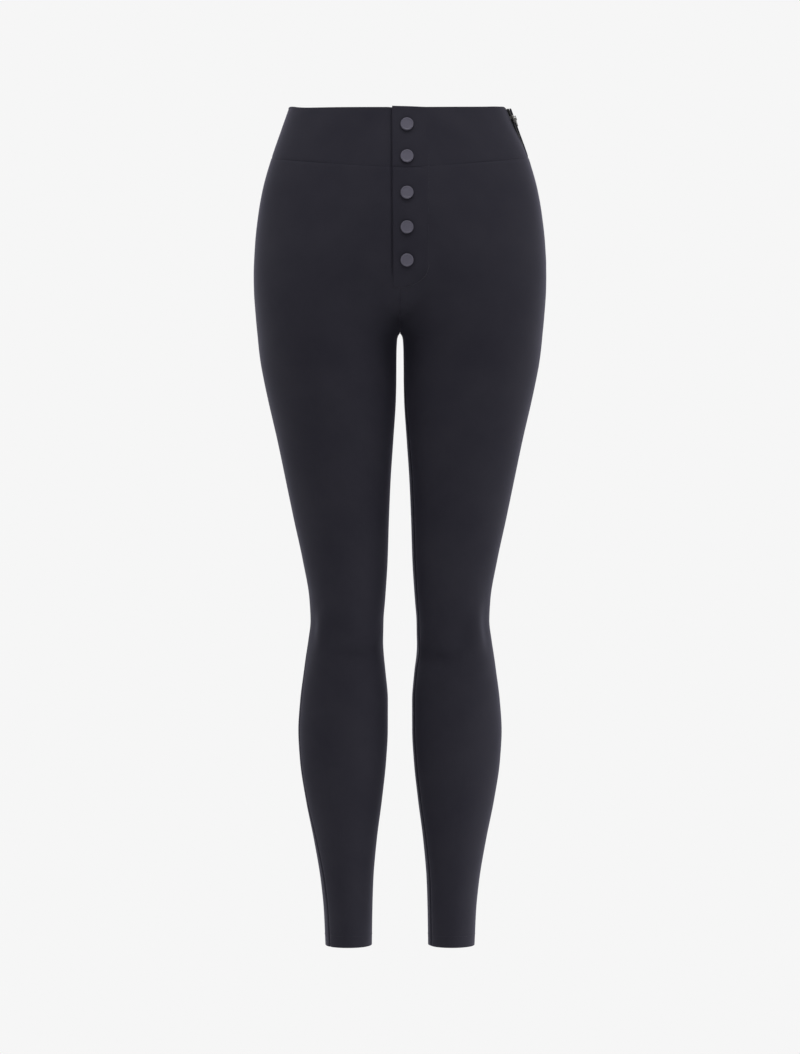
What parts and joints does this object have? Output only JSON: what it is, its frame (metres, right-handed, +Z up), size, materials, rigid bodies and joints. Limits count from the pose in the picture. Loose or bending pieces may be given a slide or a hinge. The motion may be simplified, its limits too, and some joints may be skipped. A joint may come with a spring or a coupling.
{
  "type": "skinny trousers",
  "caption": "High-waisted skinny trousers with a wide shaped waistband, a lapped button placket and a zip in the left side seam.",
  "frame": {"origin": "middle of the waist opening, level with the waist edge at the side seams", "axes": "+Z up out of the waist opening, -Y towards the wearer's front, +X towards the wearer's left"},
  "size_m": [0.3446, 0.2278, 0.9841],
  "materials": {
    "cloth": "smooth matt stretch twill, near-black ink navy",
    "button": "matt dark violet-grey snap caps",
    "zip_tape": "black woven zip tape",
    "zip_coil": "black nylon coil",
    "zip_metal": "nickel plated"
  },
  "bodies": {
    "trousers": {"front_left": "cloth", "front_right": "cloth", "back_left": "cloth", "back_right": "cloth", "waistband_front_left": "cloth", "waistband_front_right": "cloth", "waistband_back": "cloth", "placket_band": "cloth", "placket_front": "cloth", "hem_left": "cloth", "hem_right": "cloth", "button_1": "button", "button_2": "button", "button_3": "button", "button_4": "button", "button_5": "button", "zip_tape_front": "zip_tape", "zip_tape_back": "zip_tape", "zip_chain": "zip_coil", "zip_teeth_front": "zip_coil", "zip_teeth_back": "zip_coil", "zip_stop": "zip_metal", "zip_slider": "zip_metal"},
    "zip_pull": {"zip_pull": "zip_metal"}
  },
  "joints": [
    {"name": "zip_pull_hinge", "type": "hinge", "parent": "trousers", "child": "zip_pull", "pos_m": [0.13512, -0.02112, -0.01177], "axis": [-0.2234, -0.9648, -0.1384], "range_deg": [0, 150]}
  ]
}
